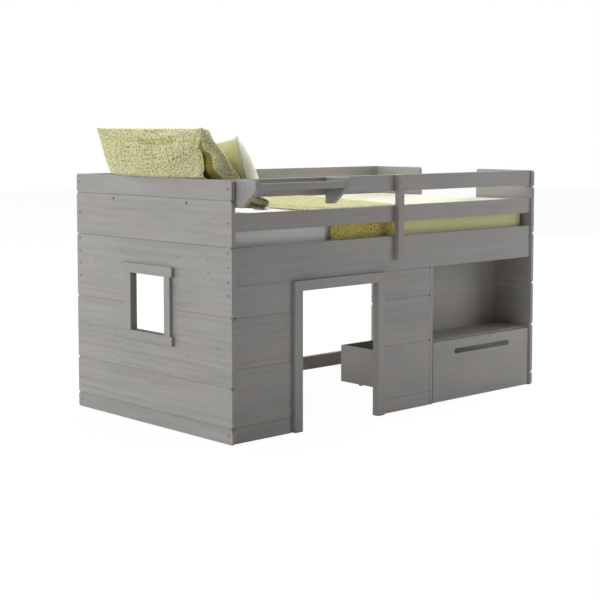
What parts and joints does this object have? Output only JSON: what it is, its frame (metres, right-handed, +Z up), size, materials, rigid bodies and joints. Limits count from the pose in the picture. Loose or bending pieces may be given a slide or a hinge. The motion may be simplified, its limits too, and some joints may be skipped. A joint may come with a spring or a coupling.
{
  "type": "loft bed",
  "caption": "Low loft bed with planked ends, guard rails, playhouse door and window, bookcase, roll-out drawer on castors, tray shelf, entry ladder and bedding.",
  "frame": {"origin": "on the floor, under the middle of the whole part's box", "axes": "+X from the head end to the foot end, -Y out of the front with the door, +Z up"},
  "size_m": [2.156, 1.2556, 1.291],
  "materials": {
    "grey_pine": "pine planks brushed and stained grey, long grain",
    "plain_pine": "plain sanded pine",
    "zinc_steel": "dull zinc plate",
    "wheel_plastic": "moulded black plastic",
    "white_sheet": "plain white cotton",
    "pale_cover": "plain pale yellow-green cotton",
    "woven_fabric": "lime weave with darker flecks",
    "pale_pillow": "plain pale green cotton"
  },
  "bodies": {
    "bed": {"back_mid_rail": "grey_pine", "back_side_rail": "grey_pine", "back_stretcher": "grey_pine", "back_top_rail": "grey_pine", "barrel_nuts": "zinc_steel", "bed_cover": "pale_cover", "bed_slats": "plain_pine", "bookcase_back": "grey_pine", "bookcase_divider": "grey_pine", "bookcase_shelf": "grey_pine", "door_head": "grey_pine", "door_posts": "grey_pine", "foot_battens": "plain_pine", "foot_plank_1": "grey_pine", "foot_plank_2": "grey_pine", "foot_plank_3": "grey_pine", "foot_plank_4": "grey_pine", "foot_plank_5": "grey_pine", "foot_top_boards": "grey_pine", "front_header_plank": "grey_pine", "front_left_plank_1": "grey_pine", "front_left_plank_2": "grey_pine", "front_left_plank_3": "grey_pine", "front_mid_rail": "grey_pine", "front_right_plank_1": "grey_pine", "front_right_plank_2": "grey_pine", "front_right_plank_3": "grey_pine", "front_side_rail": "grey_pine", "front_top_rail": "grey_pine", "furniture_bolts": "zinc_steel", "guard_posts": "grey_pine", "head_battens": "plain_pine", "head_plank_1": "grey_pine", "head_plank_2": "grey_pine", "head_plank_3": "grey_pine", "head_plank_4": "grey_pine", "head_plank_5": "grey_pine", "head_plank_6": "grey_pine", "ladder_stiles": "grey_pine", "ladder_treads": "grey_pine", "mattress": "white_sheet", "plain_pillow": "pale_pillow", "slat_ledgers": "plain_pine", "tray_board": "grey_pine", "tray_brackets": "grey_pine", "tray_lip": "grey_pine", "window_head": "grey_pine", "window_jambs": "grey_pine", "window_sill": "grey_pine", "wood_screws": "zinc_steel", "woven_pillow": "woven_fabric", "woven_throw": "woven_fabric"},
    "drawer": {"drawer_front": "grey_pine", "drawer_sides": "grey_pine", "drawer_back": "grey_pine", "drawer_bottom": "grey_pine", "castor_forks": "zinc_steel"},
    "front_wheel_pair": {"front_wheels": "wheel_plastic"},
    "back_wheel_pair": {"back_wheels": "wheel_plastic"}
  },
  "joints": [
    {"name": "drawer_slide", "type": "slide", "parent": "bed", "child": "drawer", "axis": [0, -1, 0], "range_m": [0, 0.58]},
    {"name": "front_wheel_spin", "type": "hinge", "parent": "drawer", "child": "front_wheel_pair", "pos_m": [0.627, -0.4078, 0.019], "axis": [1, 0, 0], "continuous": true},
    {"name": "back_wheel_spin", "type": "hinge", "parent": "drawer", "child": "back_wheel_pair", "pos_m": [0.627, 0.0542, 0.019], "axis": [1, 0, 0], "continuous": true}
  ],
  "couplings": [
    {"joint": "front_wheel_spin", "follows": "drawer_slide", "rad_per_m": 52.632},
    {"joint": "back_wheel_spin", "follows": "drawer_slide", "rad_per_m": 52.632}
  ]
}
